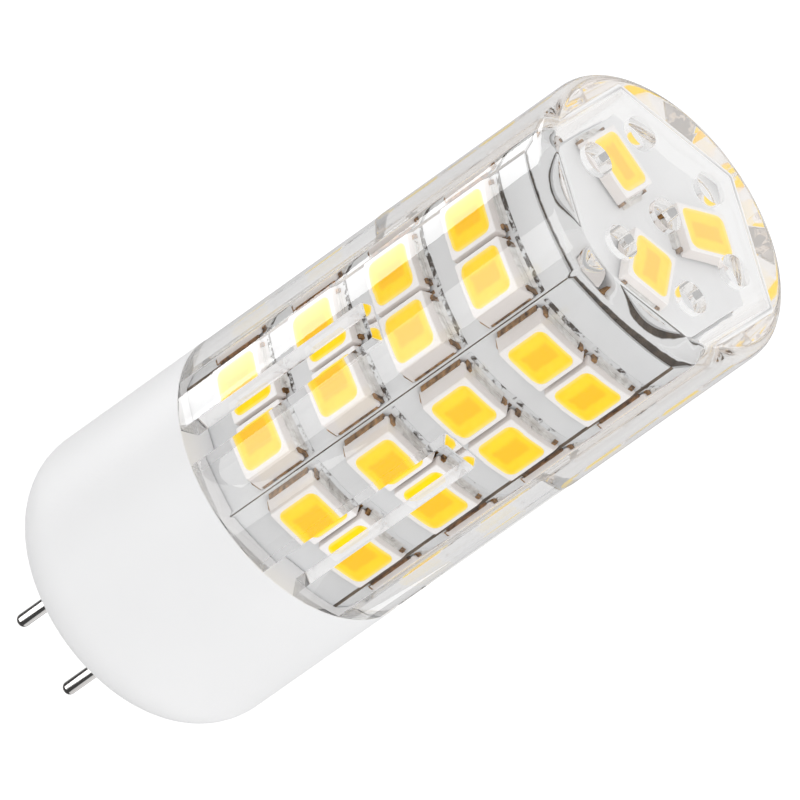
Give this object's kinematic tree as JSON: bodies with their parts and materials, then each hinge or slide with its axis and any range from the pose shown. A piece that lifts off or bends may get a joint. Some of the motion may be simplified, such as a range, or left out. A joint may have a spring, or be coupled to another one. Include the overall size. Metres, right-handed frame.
{
  "type": "led capsule bulb",
  "caption": "Small two-pin LED capsule bulb: white cup base, six-sided tower of LED boards, clear slotted cover with a vented flat cap.",
  "frame": {"origin": "middle of the base's underside, halfway between the two pins", "axes": "+Z along the bulb from the pins towards the clear cap; +X along the line through the two pins"},
  "size_m": [0.016, 0.016, 0.0441],
  "materials": {
    "white_moulding": "satin",
    "pin_metal": "bright drawn wire",
    "clear_plastic": "clear polished",
    "board_white": "white solder mask",
    "led_package": "satin",
    "phosphor": "smooth silicone",
    "lead_metal": "tinned copper",
    "driver_board_green": "green solder mask",
    "chip_black": "moulded",
    "capacitor_tan": "ceramic"
  },
  "bodies": {
    "root": {"base_shell": "white_moulding", "contact_pin_left": "pin_metal", "contact_pin_right": "pin_metal", "clear_cover": "clear_plastic", "top_board": "board_white", "lower_board": "board_white", "top_led_bodies": "led_package", "top_led_phosphor": "phosphor", "top_led_leads": "lead_metal", "driver_board": "driver_board_green", "rectifier_diodes": "chip_black", "sense_resistors": "chip_black", "smoothing_capacitor": "capacitor_tan", "driver_chip": "chip_black", "driver_chip_legs": "lead_metal", "link_pin_left": "lead_metal", "link_pin_right": "lead_metal", "side_board_1": "board_white", "side_led_bodies_1": "led_package", "side_led_phosphor_1": "phosphor", "side_led_leads_1": "lead_metal", "side_board_2": "board_white", "side_led_bodies_2": "led_package", "side_led_phosphor_2": "phosphor", "side_led_leads_2": "lead_metal", "side_board_3": "board_white", "side_led_bodies_3": "led_package", "side_led_phosphor_3": "phosphor", "side_led_leads_3": "lead_metal", "side_board_4": "board_white", "side_led_bodies_4": "led_package", "side_led_phosphor_4": "phosphor", "side_led_leads_4": "lead_metal", "side_board_5": "board_white", "side_led_bodies_5": "led_package", "side_led_phosphor_5": "phosphor", "side_led_leads_5": "lead_metal", "side_board_6": "board_white", "side_led_bodies_6": "led_package", "side_led_phosphor_6": "phosphor", "side_led_leads_6": "lead_metal"}
  },
  "joints": []
}
